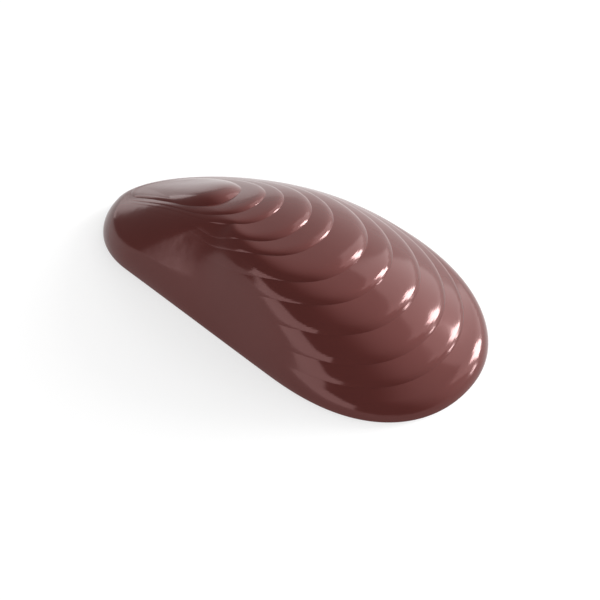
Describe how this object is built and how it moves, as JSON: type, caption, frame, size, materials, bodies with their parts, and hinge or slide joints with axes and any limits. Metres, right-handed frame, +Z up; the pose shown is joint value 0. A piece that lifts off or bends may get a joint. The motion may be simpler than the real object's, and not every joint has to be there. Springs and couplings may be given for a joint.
{
  "type": "moulded chocolate mussel shell",
  "caption": "Solid moulded chocolate in the form of a mussel shell half: teardrop outline, glossy dome with stepped growth terraces, flat underside.",
  "frame": {"origin": "middle of the bounding box, on the flat underside", "axes": "+X from the narrow nose (umbo) to the broad tail, +Y away from the straight edge, +Z up through the dome"},
  "size_m": [0.06, 0.0342, 0.0134],
  "materials": {
    "chocolate": "glossy tempered milk chocolate"
  },
  "bodies": {
    "root": {"chocolate_shell": "chocolate"}
  },
  "joints": []
}
